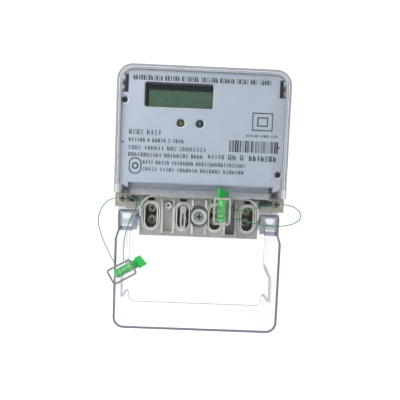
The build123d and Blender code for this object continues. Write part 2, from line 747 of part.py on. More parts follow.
def make_seal_rotor(middle, tilt, turn, out):
    low = -SEAL_LONG / 2 + 2.0
    core = Pos(0, 0, low) * Cylinder(ROTOR_RADIUS, SEAL_LONG - 2.3, align=(Align.CENTER, Align.CENTER, Align.MIN))
    # Two waists with four fins between the discs, so that the core shows as a ladder
    for z, height in ((-5.6, 2.0), (0.4, 6.8)):
        waist = Cylinder(ROTOR_RADIUS + 1, height) - Cylinder(1.7, height)
        waist -= Box(0.7, 12, height) + Box(12, 0.7, height)
        core -= Pos(0, 0, z) * waist
    end = SEAL_LONG / 2
    flag = Polygon((-4.4, end - 1), (-4.6, end + 5.2), (4.2, end + 7.1), (4.6, end - 1), align=None)
    blade = slab(flag, -1.0, 1.0)
    blade -= Pos(0, 0, end - 1) * Box(20, 20, 2.4)
    core += blade + Pos(0, 0, end - 0.5) * Cylinder(2.2, 1.8)
    return place_seal(Pos(0, 0, out) * Rot(0, 0, turn) * core, middle, tilt)


def wire_tube(route):
    """A round wire along straight runs joined by tangent arcs."""
    points = [Vector(x, -depth, z) for x, depth, z in route]
    radii = []
    for before, here, after in zip(points, points[1:], points[2:]):
        turn = math.radians((here - before).get_angle(after - here))
        short_run = min((here - before).length, (after - here).length)
        radii.append(0.45 * short_run / math.tan(turn / 2))
    path = FilletPolyline(*points, radius=radii)
    section = Plane(origin=path @ 0, z_dir=path % 0) * Circle(WIRE_DIAMETER / 2)
    tube = sweep(section, path=path)
    expected = math.pi * (WIRE_DIAMETER / 2) ** 2 * path.length
    print("wire radii", [round(r, 1) for r in radii])
    print("wire length", round(path.length, 1), "volume ratio", round(tube.volume / expected, 4))
    return tube


# Each wire leaves its seal, passes through a sealing corner and its screw, and
# returns to the same seal: x, depth, z of the route's points.
LEFT_WIRE = [
    (-57.49, 49.5, -30.13), (-58.3, 49.1, -23.5), (-57.8, 48.0, -13.0), (-55.6, 47.0, -3.0),
    (-51.6, 46.8, 6.4), (-49.0, 47.2, 12.6), (-49.6, 46.9, 17.3), (-52.8, 45.2, 19.7),
    (-57.0, 43.4, 18.3), (-68.4, 43.4, 18.3), (-74.0, 44.6, 14.4), (-77.9, 45.6, 7.5),
    (-78.9, 46.4, -0.8), (-76.4, 47.4, -9.6), (-72.4, 48.4, -18.0), (-68.0, 49.1, -26.5),
    (-63.81, 49.5, -33.78)]
RIGHT_WIRE = [
    (23.65, 52.2, 13.0), (30.2, 50.8, 12.8), (37.8, 48.9, 12.9), (45.0, 47.9, 15.0),
    (51.0, 46.2, 18.0), (57.4, 43.4, 18.3), (68.4, 43.4, 18.3), (74.4, 44.2, 16.9),
    (79.2, 45.2, 13.4), (80.2, 46.2, 8.4), (76.0, 46.8, 4.4), (68.8, 47.2, 1.9),
    (57.5, 47.6, 1.1), (46.0, 48.6, 2.4), (34.8, 50.4, 5.4), (23.65, 52.2, 7.2)]


# ---------------------------------------------------------------------- export


def main():
    save(make_base_case(), "base_case")
    save(gasket_ring(0), "case_gasket")
    save(make_front_cover(), "front_cover")
    save(make_carrier(), "nameplate_carrier")
    save(make_label(), "nameplate_label")
    save(make_latch_springs(), "latch_springs")
    save(make_case_rivets(), "case_rivets")
    save(make_lcd_glass(), "lcd_glass")
    save(make_lcd_frame(), "lcd_frame")
    save(make_lcd_contacts(), "lcd_contacts")
    save(make_led(LED_X[0]), "pulse_led")
    save(make_led(LED_X[1]), "tamper_led")
    save(make_board(), "main_pcb")
    save(make_board_screws(), "pcb_screws")
    save(make_chip(20, 64, 6.0, 11), "microcontroller")
    save(make_chip(-32, 56, 4.5, 7), "metering_chip")
    save(make_crystal(), "crystal")
    save(make_film_capacitor(), "film_capacitor")
    save(make_electrolytics(), "electrolytic_capacitors")
    save(make_varistor(), "varistor")
    save(make_phase_shunt(), "phase_shunt")
    save(make_neutral_link(), "neutral_link")
    save(make_current_transformer(), "current_transformer")
    save(make_terminal_block(), "terminal_block")
    for number, x in enumerate(well_positions(), start=1):
        save(make_terminal_tube(x), f"terminal_tube_{number}")
        for row, side in enumerate((1, -1)):
            z = WELL_Z + side * SCREW_SPREAD
            place = 2 * number - 1 + row
            save(make_clamp_pad(x, z), f"clamp_pad_{place}")
            save(make_terminal_screw(x, z), f"terminal_screw_{place}")
    save(make_terminal_cover(), "terminal_cover")
    save(make_link_guard(), "link_guard")
    save(make_cover_screw(), "cover_screw")
    save(make_cover_screw_ring(), "cover_screw_ring")
    save(make_cover_screw_insert(), "cover_screw_insert")
    save(make_sealing_inserts(), "sealing_inserts")
    save(make_sealing_screw(-1), "sealing_screw_left")
    save(make_sealing_screw(1), "sealing_screw_right")
    save(make_seal_body(LEFT_SEAL, LEFT_SEAL_TILT), "seal_body_left")
    save(make_seal_body(RIGHT_SEAL, RIGHT_SEAL_TILT), "seal_body_right")
    save(make_seal_rotor(LEFT_SEAL, LEFT_SEAL_TILT, LEFT_FLAG_TURN, LEFT_ROTOR_OUT), "seal_rotor_left")
    save(make_seal_rotor(RIGHT_SEAL, RIGHT_SEAL_TILT, RIGHT_FLAG_TURN, RIGHT_ROTOR_OUT), "seal_rotor_right")
    save(wire_tube(LEFT_WIRE), "seal_wire_left")
    save(wire_tube(RIGHT_WIRE), "seal_wire_right")


main()
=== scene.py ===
import json
import math
import random

import bmesh
import bpy
from mathutils import Matrix, Quaternion, Vector


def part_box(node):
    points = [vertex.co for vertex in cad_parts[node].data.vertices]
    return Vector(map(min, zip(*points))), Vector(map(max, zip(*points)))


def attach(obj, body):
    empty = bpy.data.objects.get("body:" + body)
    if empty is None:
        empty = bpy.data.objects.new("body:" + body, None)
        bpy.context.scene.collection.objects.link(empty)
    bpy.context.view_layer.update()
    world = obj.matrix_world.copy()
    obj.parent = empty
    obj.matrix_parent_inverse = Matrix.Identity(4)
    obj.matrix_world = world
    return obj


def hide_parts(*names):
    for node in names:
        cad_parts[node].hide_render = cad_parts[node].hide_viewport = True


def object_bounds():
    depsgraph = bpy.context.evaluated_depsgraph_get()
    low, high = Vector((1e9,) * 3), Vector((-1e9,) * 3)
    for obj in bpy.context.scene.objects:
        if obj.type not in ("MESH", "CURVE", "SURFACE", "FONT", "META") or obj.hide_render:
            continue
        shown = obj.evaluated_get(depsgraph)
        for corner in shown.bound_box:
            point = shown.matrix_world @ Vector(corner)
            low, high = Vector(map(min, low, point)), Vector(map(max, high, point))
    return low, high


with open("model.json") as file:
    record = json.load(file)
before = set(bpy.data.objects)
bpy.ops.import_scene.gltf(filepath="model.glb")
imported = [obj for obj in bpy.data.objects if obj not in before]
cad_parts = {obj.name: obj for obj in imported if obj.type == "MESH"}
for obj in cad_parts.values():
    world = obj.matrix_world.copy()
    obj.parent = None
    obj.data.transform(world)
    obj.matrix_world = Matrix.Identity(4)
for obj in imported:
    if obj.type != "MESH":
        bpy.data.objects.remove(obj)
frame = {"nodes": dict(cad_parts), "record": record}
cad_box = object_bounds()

# Metres, +Z up. The wall is the plane Y = 0 and the meter faces -Y, so a depth d
# from the wall is Y = -d.
MM = 0.001
NODES = frame["nodes"]
random.seed(7)

# Driving dimensions: depths from the wall, in metres
FACE_DEPTH = 54.0 * MM          # main face of the front cover
CARRIER_DEPTH = 50.0 * MM       # face of the nameplate carrier
BAND_DEPTH = 47.0 * MM          # lower band of the front cover
CORNER_DEPTH = 46.2 * MM        # faces of the two sealing corners
COVER_DEPTH = 43.5 * MM         # face of the terminal cover
BLOCK_DEPTH = 40.0 * MM         # face of the terminal block
NOTCH_DEPTH = 22.0 * MM         # front end of the terminal cover's side notches
REAR_DEPTH = 2.0 * MM           # rear edge of the terminal cover
SEALING_X = 60.2 * MM           # the corner screws, either side of the middle
SEALING_Z = 18.3 * MM
COVER_SCREW_Z = 5.9 * MM

# Outline of the front cover and of the terminal cover, in mm
BODY_HALF = 66.0
BODY_TOP = 121.0
BODY_CORNER = 12.0
COVER_SHOULDER = -12.8
COVER_NOTCH_END = -66.0

# ------------------------------------------------------------------- camera

CAMERA_DISTANCE = 0.420
CAMERA_ELEVATION = math.radians(5.0)
CAMERA_AZIMUTH = math.radians(-1.0)
CAMERA_ROLL = math.radians(2.4)
CAMERA_TARGET = Vector((0.0, -0.056, 0.0204))
CAMERA_LENS = 49.5


def make_camera():
    data = bpy.data.cameras.new("view_camera")
    data.lens = CAMERA_LENS
    data.clip_start = 0.01
    camera = bpy.data.objects.new("view_camera", data)
    bpy.context.scene.collection.objects.link(camera)
    back = Vector((math.sin(CAMERA_AZIMUTH) * math.cos(CAMERA_ELEVATION),
                   -math.cos(CAMERA_AZIMUTH) * math.cos(CAMERA_ELEVATION),
                   math.sin(CAMERA_ELEVATION)))
    look = (-back).to_track_quat("-Z", "Y") @ Quaternion((0, 0, 1), CAMERA_ROLL)
    camera.location = CAMERA_TARGET + back * CAMERA_DISTANCE
    camera.rotation_mode = "QUATERNION"
    camera.rotation_quaternion = look
    bpy.context.scene.camera = camera


make_camera()

# ---------------------------------------------------------------- materials


def linear(red, green, blue):
    """A display colour of 0 to 255 as the linear colour that the shaders use."""
    out = []
    for value in (red, green, blue):
        v = value / 255
        out.append(v / 12.92 if v <= 0.04045 else ((v + 0.055) / 1.055) ** 2.4)
    return (*out, 1.0)


def scaled(colour, factor):
    return (*[min(1.0, c * factor) for c in colour[:3]], 1.0)


def finish_material(name, colour, rough, *, spread=0.07, patch=90.0, grain=1400.0,
                    rough_spread=0.08, bump=0.25, bump_depth=0.02 * MM, **sockets):
    """A procedural surface: mottled colour, grained roughness and a fine relief."""
    material = bpy.data.materials.new(name)
    material.use_nodes = True
    nodes = material.node_tree.nodes
    links = material.node_tree.links
    shader = nodes["Principled BSDF"]
    place = nodes.new("ShaderNodeTexCoord").outputs["Object"]

    def noise(scale, detail):
        node = nodes.new("ShaderNodeTexNoise")
        node.inputs["Scale"].default_value = scale
        node.inputs["Detail"].default_value = detail
        links.new(place, node.inputs["Vector"])
        return node.outputs["Fac"]

    def mixed(factor, first, second):
        node = nodes.new("ShaderNodeMix")
        node.data_type = "RGBA"
        links.new(factor, node.inputs["Factor"])
        node.inputs["A"].default_value = first
        node.inputs["B"].default_value = second
        return node.outputs["Result"]

    def ramp(factor, low, high):
        node = nodes.new("ShaderNodeMapRange")
        node.inputs["From Min"].default_value = 0.3
        node.inputs["From Max"].default_value = 0.7
        node.inputs["To Min"].default_value = low
        node.inputs["To Max"].default_value = high
        links.new(factor, node.inputs["Value"])
        return node.outputs["Result"]

    blotch = noise(patch, 4.0)
    fine = noise(grain, 3.0)
    shade = mixed(ramp(blotch, 0.0, 1.0), scaled(colour, 1 - spread), scaled(colour, 1 + spread))
    links.new(shade, shader.inputs["Base Color"])
    rough_low = max(0.0, rough - rough_spread)
    links.new(ramp(fine, rough_low, rough + rough_spread), shader.inputs["Roughness"])
    relief = nodes.new("ShaderNodeBump")
    relief.inputs["Strength"].default_value = bump
    relief.inputs["Distance"].default_value = bump_depth
    links.new(fine, relief.inputs["Height"])
    links.new(relief.outputs["Normal"], shader.inputs["Normal"])
    for socket, value in sockets.items():
        shader.inputs[socket.replace("_", " ")].default_value = value
    return material


# Options shared by the clear and by the metal surfaces
CLEAR = dict(spread=0.01, rough_spread=0.012, bump=0.06, bump_depth=0.01 * MM,
             Transmission_Weight=1.0, IOR=1.585)
METAL = dict(Metallic=1.0)

MATERIALS = {
    "clear_shell": finish_material("clear_polycarbonate", linear(222, 224, 226), 0.05, Alpha=0.28, **CLEAR),
    "base_shell": finish_material("smoky_base_moulding", linear(184, 188, 199), 0.34,
                                  Transmission_Weight=0.12, IOR=1.58),
    "gasket": finish_material("gasket_rubber", linear(214, 215, 214), 0.6, bump=0.4),
    "dark_moulding": finish_material("dark_moulding", linear(44, 47, 56), 0.5, bump=0.4),
    "carrier_silver": finish_material("silver_moulding", linear(164, 172, 184), 0.42, spread=0.03,
                                      Metallic=0.3),
    "label_print": finish_material("silver_film", linear(172, 180, 192), 0.38, spread=0.025,
                                   Metallic=0.3),
    "lcd_panel": finish_material("display_glass", linear(16, 22, 24), 0.3, spread=0.05,
                                 Specular_IOR_Level=0.2),
    "white_plastic": finish_material("white_moulding", linear(222, 224, 222), 0.45),
    "led_amber": finish_material("olive_lens", linear(126, 126, 52), 0.10, spread=0.05,
                                 Transmission_Weight=0.6, IOR=1.52),
    "led_grey": finish_material("smoky_lens", linear(92, 108, 112), 0.10, spread=0.05,
                                Transmission_Weight=0.6, IOR=1.52),
    "board_green": finish_material("solder_mask", linear(24, 92, 48), 0.34, spread=0.12),
    "zinc_steel": finish_material("bright_zinc", linear(148, 160, 164), 0.3, **METAL),
    "black_epoxy": finish_material("moulded_epoxy", linear(28, 28, 30), 0.55, bump=0.5),
    "tin_can": finish_material("tinned_can", linear(196, 196, 192), 0.3, **METAL),
    "grey_box": finish_material("capacitor_box", linear(200, 178, 60), 0.4),
    "black_sleeve": finish_material("capacitor_sleeve", linear(26, 28, 36), 0.3),
    "blue_epoxy": finish_material("epoxy_dip", linear(34, 66, 148), 0.25, bump=0.5),
    "copper_bar": finish_material("tinned_copper", linear(206, 160, 130), 0.34, **METAL),
    "coil_wrap": finish_material("coil_tape", linear(40, 70, 132), 0.4),
    "block_grey": finish_material("grey_block_moulding", linear(150, 151, 145), 0.3, spread=0.05,
                                  Transmission_Weight=0.1, IOR=1.58),
    "brass_parts": finish_material("turned_brass", linear(168, 140, 84), 0.34, **METAL),
    "dark_screw": finish_material("oxidised_plating", linear(176, 166, 140), 0.3, spread=0.3, patch=700.0,
                                  Metallic=0.85),
    "seal_clear": finish_material("clear_seal_moulding", linear(206, 216, 204), 0.1,
                                  Transmission_Weight=0.4, Alpha=0.08, IOR=1.4),
    "seal_green": finish_material("green_seal_moulding", linear(10, 150, 58), 0.32, spread=0.05),
    "wire_green": finish_material("green_wire_coat", linear(14, 104, 54), 0.32, spread=0.15, patch=500.0),
}
# Extra surfaces, for single faces and for the strips laid on the clear plastics; most of them are painted
# shade or painted highlight
# Painted shade: grey for the dark outlines that the clear plastic's edges show
SHADE_GREY = finish_material("painted_shade_grey", linear(88, 91, 101), 0.2, spread=0.05)
# Painted shade: mid grey for the outer edge and rear edge lines of the clear front cover
SHADE_PALE = finish_material("painted_shade_pale", linear(120, 124, 130), 0.2, spread=0.05)
# Painted highlight: near white for the bright arcs on the rims of the round holes
HIGHLIGHT_SILVER = finish_material("painted_highlight_silver", linear(226, 230, 235), 0.3, spread=0.03)
# Painted shade: dark for the faces of the display window's bevel that turn away from the key light
BEVEL_SHADE = finish_material("painted_bevel_shade", linear(52, 56, 60), 0.4, spread=0.05)
CORNER_FROST = finish_material("corner_frost", linear(130, 129, 119), 0.4, spread=0.05,
                               Transmission_Weight=0.3, IOR=1.3)
# Painted shade: dark brown for the insides of the terminal wells and the openings above them
WELL_SHADE = finish_material("painted_well_shade", linear(66, 62, 52), 0.4, spread=0.15, patch=300.0)
# Painted shade: a dark grey ring on the block face round each well
RIM_SHADE = finish_material("painted_rim_shade", linear(98, 100, 98), 0.3, spread=0.08)
# Painted highlight: pale for the raised front faces of the terminal block
RIM_HIGHLIGHT = finish_material("painted_rim_highlight", linear(206, 208, 202), 0.2, spread=0.04)
CLEAR_PALE = finish_material("clear_pale", linear(190, 194, 189), 0.15, spread=0.04, Alpha=0.6)
GUARD_CLEAR = finish_material("guard_clear", linear(186, 189, 196), 0.12, spread=0.2, patch=260.0, Alpha=0.5)
SIDE_SHADE = finish_material("side_shade", linear(150, 153, 158), 0.2, spread=0.1, patch=240.0, Alpha=0.62)
EAR_SHADE = finish_material("ear_shade", linear(136, 140, 154), 0.2, spread=0.2, patch=160.0, Alpha=0.7)
# Painted highlight: pale for the lit faces of the display window's bevel and for a bright line inside the
# front cover's edge
BEVEL_HIGHLIGHT = finish_material("painted_bevel_highlight", linear(176, 180, 186), 0.3, spread=0.04)
# Painted light: pale for the walls and floor of the left pocket of the terminal block, lighter than the other
# pockets
POCKET_LIGHT = finish_material("painted_pocket_light", linear(206, 208, 202), 0.4, spread=0.05)
SEAL_EDGE_SHADE_DARK = finish_material("painted_seal_edge_shade_dark", linear(98, 97, 88), 0.25, spread=0.2, patch=400.0)
SEAL_EDGE_SHADE_LIGHT = finish_material("painted_seal_edge_shade_light", linear(136, 140, 130), 0.25, spread=0.2, patch=400.0)
RECESS_SHADE = finish_material("painted_recess_shade", linear(30, 28, 24), 0.5, spread=0.1)
AGED_ZINC = finish_material("aged_zinc", linear(150, 147, 134), 0.36, spread=0.15, patch=500.0, **METAL)
PRINT_INK = finish_material("print_ink", linear(40, 44, 56), 0.5, spread=0.12, patch=600.0)
POLARISER = finish_material("display_polariser", linear(58, 84, 65), 0.26, spread=0.06, patch=60.0)


def dress_nodes():
    """Every CAD node takes the material of its slot in the record."""
    for part in frame["record"]["subparts"]:
        material = MATERIALS[part["material_slot"]]
        mesh = NODES[part["node"]].data
        mesh.materials.clear()
        mesh.materials.append(material)
    for side in ("left", "right"):
        mesh = NODES[f"sealing_screw_{side}"].data
        mesh.materials.clear()
        mesh.materials.append(AGED_ZINC)
    NODES["link_guard"].data.materials[0] = GUARD_CLEAR


dress_nodes()

# ------------------------------------------------------------------ helpers


def new_piece(name, mesh, material, body="meter"):
    """A new object of the visual model, riding on a body."""
    piece = bpy.data.objects.new(name, mesh)
    bpy.context.scene.collection.objects.link(piece)
    mesh.materials.append(material)
    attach(piece, body)
    return piece


def mesh_of(name, shape):
    mesh = bpy.data.meshes.new(name)
    shape.to_mesh(mesh)
    shape.free()
    return mesh


def add_box(shape, x0, x1, front, back, z0, z1):
    """A thin box in a bmesh, between two X, two depths and two Z."""
    verts = [shape.verts.new((x, -depth, z)) for depth in (front, back) for x, z in
             ((x0, z0), (x1, z0), (x1, z1), (x0, z1))]
    for ring in ((0, 1, 2, 3), (7, 6, 5, 4), (0, 4, 5, 1), (1, 5, 6, 2), (2, 6, 7, 3), (3, 7, 4, 0)):
        shape.faces.new([verts[i] for i in ring])


# ------------------------------------------------------------------- wires

# Route points of each seal wire, from its seal through the corner screw and back
LEFT_WIRE = [
    (-0.05749, -0.0495, -0.03013), (-0.0583, -0.0491, -0.0235), (-0.0578, -0.0480, -0.0130),
    (-0.0556, -0.0470, -0.0030), (-0.0516, -0.0468, 0.0064), (-0.0490, -0.0472, 0.0126),
    (-0.0496, -0.0469, 0.0173), (-0.0528, -0.0452, 0.0197), (-0.0570, -0.0434, 0.0183),
    (-0.0684, -0.0434, 0.0183), (-0.0740, -0.0446, 0.0144), (-0.0779, -0.0456, 0.0075),
    (-0.0789, -0.0464, -0.0008), (-0.0764, -0.0474, -0.0096), (-0.0724, -0.0484, -0.0180),
    (-0.0680, -0.0491, -0.0265), (-0.06381, -0.0495, -0.03378)]
RIGHT_WIRE = [
    (0.02365, -0.0522, 0.0130), (0.0302, -0.0508, 0.0128), (0.0378, -0.0489, 0.0129),
    (0.0450, -0.0479, 0.0150), (0.0510, -0.0462, 0.0180), (0.0574, -0.0434, 0.0183),
    (0.0684, -0.0434, 0.0183), (0.0744, -0.0442, 0.0169), (0.0792, -0.0452, 0.0134),
    (0.0802, -0.0462, 0.0084), (0.0760, -0.0468, 0.0044), (0.0688, -0.0472, 0.0019),
    (0.0575, -0.0476, 0.0011), (0.0460, -0.0486, 0.0024), (0.0348, -0.0504, 0.0054),
    (0.02365, -0.0522, 0.0072)]
WIRE_DIAMETER = 0.0008
STRAND_RADIUS = 0.33 * MM
STRAND_OFFSET = WIRE_DIAMETER / 2 - STRAND_RADIUS
TWIST_PITCH = 3.4 * MM
STRAND_SIDES = 8


def route_line(name, route):
    """Points along the smooth line of a route, read from its NURBS spline."""
    data = bpy.data.curves.new(name, "CURVE")
    data.dimensions = "3D"
    data.resolution_u = 28
    spline = data.splines.new("NURBS")
    spline.points.add(len(route) - 1)
    for point, place in zip(spline.points, route):
        point.co = (*place, 1.0)
    spline.order_u = 3
    spline.use_endpoint_u = True
    holder = bpy.data.objects.new(name, data)
    bpy.context.scene.collection.objects.link(holder)
    bpy.context.view_layer.update()
    mesh = bpy.data.meshes.new_from_object(holder)
    line = [v.co.copy() for v in mesh.vertices]
    bpy.data.objects.remove(holder)
    bpy.data.curves.remove(data)
    bpy.data.meshes.remove(mesh)
    return line


def frames_along(line):
    """At each point of a line, its direction and a side vector that doesn't twist."""
    ways = [(b - a).normalized() for a, b in zip(line, line[1:])]
    ways.append(ways[-1])
    side = ways[0].orthogonal().normalized()
    out = []
    before = ways[0]
    for way in ways:
        side = before.rotation_difference(way) @ side
        side = (side - way * side.dot(way)).normalized()
        out.append((way, side.copy()))
        before = way
    return out


def add_tube(shape, centres, ways, radius, sides=STRAND_SIDES):
    """A closed round tube along given centres, in a bmesh."""
    rings = []
    for centre, (way, side) in zip(centres, ways):
        other = way.cross(side)
        ring = []
        for i in range(sides):
            angle = 2 * math.pi * i / sides
            ring.append(shape.verts.new(centre + (side * math.cos(angle) + other * math.sin(angle)) * radius))
        rings.append(ring)
    for a, b in zip(rings, rings[1:]):
        for i in range(sides):
            j = (i + 1) % sides
            shape.faces.new((a[i], a[j], b[j], b[i]))
    shape.faces.new(list(reversed(rings[0])))
    shape.faces.new(rings[-1])


def make_wire(side, route):
    """A seal wire of two strands twisted together, as thick over both as its tube."""
    line = route_line(f"route_{side}", route)
    ways = frames_along(line)
    shape = bmesh.new()
    for strand in (0, 1):
        centres = []
        travel = 0.0
        before = line[0]
        for point, (way, across) in zip(line, ways):
            travel += (point - before).length
            before = point
            angle = 2 * math.pi * travel / TWIST_PITCH + math.pi * strand
            offset = across * math.cos(angle) + way.cross(across) * math.sin(angle)
            centres.append(point + offset * STRAND_OFFSET)
        add_tube(shape, centres, ways, STRAND_RADIUS)
    for face in shape.faces:
        face.smooth = True
    name = f"twisted_wire_{side}"
    wire = new_piece(name, mesh_of(name, shape), MATERIALS["wire_green"])
    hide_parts(f"seal_wire_{side}")


make_wire("left", LEFT_WIRE)
make_wire("right", RIGHT_WIRE)

# ---------------------------------------------------------------- edge rounding


SHARP_EDGE = math.radians(35.0)
WELD_DISTANCE = 0.002 * MM


def soften(node, width):
    """Round the moulded edges of a CAD node with modifiers."""
    piece = NODES[node]
    weld = piece.modifiers.new("weld", "WELD")
    weld.merge_threshold = WELD_DISTANCE
    bevel = piece.modifiers.new("moulded_edges", "BEVEL")
    bevel.width = width
    bevel.segments = 1
    bevel.limit_method = "ANGLE"
    bevel.angle_limit = SHARP_EDGE
    bevel.harden_normals = True


for node_name, edge_width in (("front_cover", 0.35 * MM), ("terminal_cover", 0.5 * MM),
                              ("base_case", 0.3 * MM), ("terminal_block", 0.25 * MM),
                              ("nameplate_carrier", 0.2 * MM), ("seal_body_left", 0.3 * MM),
                              ("seal_body_right", 0.3 * MM), ("seal_rotor_left", 0.15 * MM),
                              ("seal_rotor_right", 0.15 * MM), ("cover_screw", 0.15 * MM)):
    soften(node_name, edge_width)

# ------------------------------------------------------- tones of single faces

WELL_PITCH = 25.4 * MM
WELL_X = tuple(WELL_PITCH * (i - 1.5) for i in range(4))
WELL_Z = 5.3 * MM
WELL_HALF = (4.75 * MM, 9.85 * MM)
WELL_RIM_HALF = (6.35 * MM, 10.95 * MM)
SCREW_RISE = 4.9 * MM
LEFT_POCKET_X = -WELL_PITCH
FACE_SLACK = 0.05 * MM


def tone_faces(node, choices):
    """Give some faces of a CAD node another material: each choice is a material and a test."""
    piece = NODES[node]
    mesh = piece.data
    first = len(mesh.materials)
    for material, _ in choices:
        mesh.materials.append(material)
    place = piece.matrix_world
    turn = place.to_3x3()
    for face in mesh.polygons:
        x, y, z = place @ face.center
        normal = turn @ face.normal
        for i, (_, test) in enumerate(choices):
            if test(x, -y, z, normal):
                face.material_index = first + i
                break


def in_well(x, z, half_width, half_height):
    """Whether a point lies inside the upright slot shape round one of the wells."""
    reach = half_height - half_width
    for well in WELL_X:
        dz = max(0.0, abs(z - WELL_Z) - reach)
        if math.hypot(x - well, dz) < half_width:
            return True
    return False


def well_side(x, depth, z, normal):
    return depth < BLOCK_DEPTH - FACE_SLACK and in_well(x, z, *WELL_HALF)


def well_rim(x, depth, z, normal):
    return abs(depth - BLOCK_DEPTH) < FACE_SLACK and in_well(x, z, *WELL_RIM_HALF)


def above_well(x, depth, z, normal):
    """The small opening over each well, which takes painted shade."""
    nearest = min(abs(x - w) for w in WELL_X)
    return depth < BLOCK_DEPTH - 2 * FACE_SLACK and 16.5 * MM < z < 19.9 * MM and nearest < 2.8 * MM


def in_left_pocket(x, depth, z, normal):
    near = abs(x - LEFT_POCKET_X) < 5 * MM and abs(z) < 22 * MM
    return depth < BLOCK_DEPTH - 2 * FACE_SLACK and near


def on_sealing_corner(x, depth, z, normal):
    front_facing = abs(depth - CORNER_DEPTH) < 0.6 * MM and normal.y < -0.5
    return front_facing and z < 23.4 * MM and abs(x) > 45 * MM


def tone_recess(node, x0, z0, radius, front, floor):
    """Painted shade in the driver recess of a screw head."""
    def inside(x, depth, z, normal):
        return math.hypot(x - x0, z - z0) < radius and floor - 0.1 * MM < depth < front - 0.1 * MM

    tone_faces(node, [(RECESS_SHADE, inside)])


tone_faces("terminal_block", [
    (RIM_HIGHLIGHT, lambda x, depth, z, n: depth > BLOCK_DEPTH + FACE_SLACK),
    (WELL_SHADE, well_side),
    (WELL_SHADE, above_well),
    (POCKET_LIGHT, in_left_pocket),
    (RIM_SHADE, well_rim)])
tone_faces("front_cover", [(CORNER_FROST, on_sealing_corner)])

LCD_MIDDLE = (-18.7 * MM, 98.7 * MM)
LCD_REACH = (26.8 * MM, 10.0 * MM)


def on_bevel(x, depth, z, normal):
    """The sloping rim of the display window."""
    near = abs(x - LCD_MIDDLE[0]) < LCD_REACH[0] and abs(z - LCD_MIDDLE[1]) < LCD_REACH[1]
    in_slope = CARRIER_DEPTH - 0.85 * MM < depth < CARRIER_DEPTH - 0.02 * MM
    return near and in_slope and -0.95 < normal.y < -0.2


def on_lit_bevel(x, depth, z, normal):
    return on_bevel(x, depth, z, normal) and (normal.x < -0.2 or normal.z > 0.2)


# The display window's bevel: painted highlight on the faces that turn up or to the left, painted shade on the
# others
tone_faces("nameplate_carrier", [(BEVEL_HIGHLIGHT, on_lit_bevel), (BEVEL_SHADE, on_bevel)])
tone_recess("cover_screw", 0.0, COVER_SCREW_Z, 2.5 * MM, 44.4 * MM, 43.0 * MM)
for side, sign in (("left", -1), ("right", 1)):
    tone_recess(f"sealing_screw_{side}", sign * SEALING_X, SEALING_Z, 2.6 * MM, 46.0 * MM, 44.9 * MM)
for number in range(1, 9):
    well = WELL_X[(number - 1) // 2]
    rise = SCREW_RISE if number % 2 else -SCREW_RISE
    tone_recess(f"terminal_screw_{number}", well, WELL_Z + rise, 2.5 * MM, 26.5 * MM, 24.5 * MM)


def on_boss(x, depth, z, normal):
    """The raised ring round the cover screw."""
    above = max(0.0, abs(z - COVER_SCREW_Z) - 1.5 * MM)
    return math.hypot(x, above) < 6.3 * MM and depth > COVER_DEPTH - 0.3 * MM


def in_notch(x, depth, z, normal):
    """The cable notches in the sides of the terminal cover."""
    level = COVER_NOTCH_END * MM < z < -37 * MM
    return abs(x) > 50 * MM and depth < NOTCH_DEPTH + 0.4 * MM and level and abs(normal.x) < 0.6


# The faces of the side notches take painted shade in grey
tone_faces("terminal_cover", [
    (CLEAR_PALE, on_boss),
    (CLEAR_PALE, lambda x, depth, z, n: depth > COVER_DEPTH + 0.1 * MM),
    (SHADE_GREY, in_notch)])

# ---------------------------------------------- painted shade and highlight strips on the clear edges

STRIP_LIFT = 0.05 * MM


def add_ribbon(shape, points, width, front, back, place=None):
    """A thin strip of even width along a line of points, x and z in mm."""
    place = place or (lambda x, z: (x, z))
    rows = []
    for i, point in enumerate(points):
        before = Vector(points[max(0, i - 1)])
        after = Vector(points[min(len(points) - 1, i + 1)])
        way = (after - before).normalized()
        side = Vector((-way.y, way.x)) * width / 2
        row = []
        for depth in (front, back):
            for sign in (1, -1):
                x, z = place(*(Vector(point) + side * sign))
                row.append(shape.verts.new((x * MM, -depth, z * MM)))
        rows.append(row)
    for a, b in zip(rows, rows[1:]):
        for i, j in ((0, 1), (1, 3), (3, 2), (2, 0)):
            shape.faces.new((a[i], a[j], b[j], b[i]))
    for row in (rows[0], rows[-1]):
        shape.faces.new((row[0], row[1], row[3], row[2]))


def corner_points(x, z, radius, start, end, steps=7):
    """Points on an arc about (x, z), in mm and degrees."""
    out = []
    for i in range(steps + 1):
        angle = math.radians(start + (end - start) * i / steps)
        out.append((x + radius * math.cos(angle), z + radius * math.sin(angle)))
    return out


def cover_line(half, bottom, radius):
    """The lower outline of the terminal cover from one shoulder to the other."""
    line = [(-half, COVER_SHOULDER), (-half, bottom + radius + 1)]
    line += corner_points(-half + radius, bottom + radius, radius, 180, 270)
    line += corner_points(half - radius, bottom + radius, radius, 270, 360)
    return line + [(half, bottom + radius + 1), (half, COVER_SHOULDER)]


COVER_HALF = 64.9               # middle of the strip round the cover, in mm
COVER_BOTTOM = -85.1
COVER_REAR_HALF = 57.9
COVER_STRIP_FRONT = COVER_DEPTH + 0.06 * MM
EAR_INNER = 49.0                # the ears at its upper corners, in mm
EAR_TOP = 9.0


def add_strip(shape, points, width):
    """A strip on the face of the terminal cover."""
    add_ribbon(shape, points, width, COVER_STRIP_FRONT, COVER_STRIP_FRONT - STRIP_LIFT)


def add_route_tube(shape, points, radius):
    """A round rod through points given as x, depth and z, in mm."""
    route = [Vector((x * MM, -depth * MM, z * MM)) for x, depth, z in points]
    add_tube(shape, route, frames_along(route), radius)


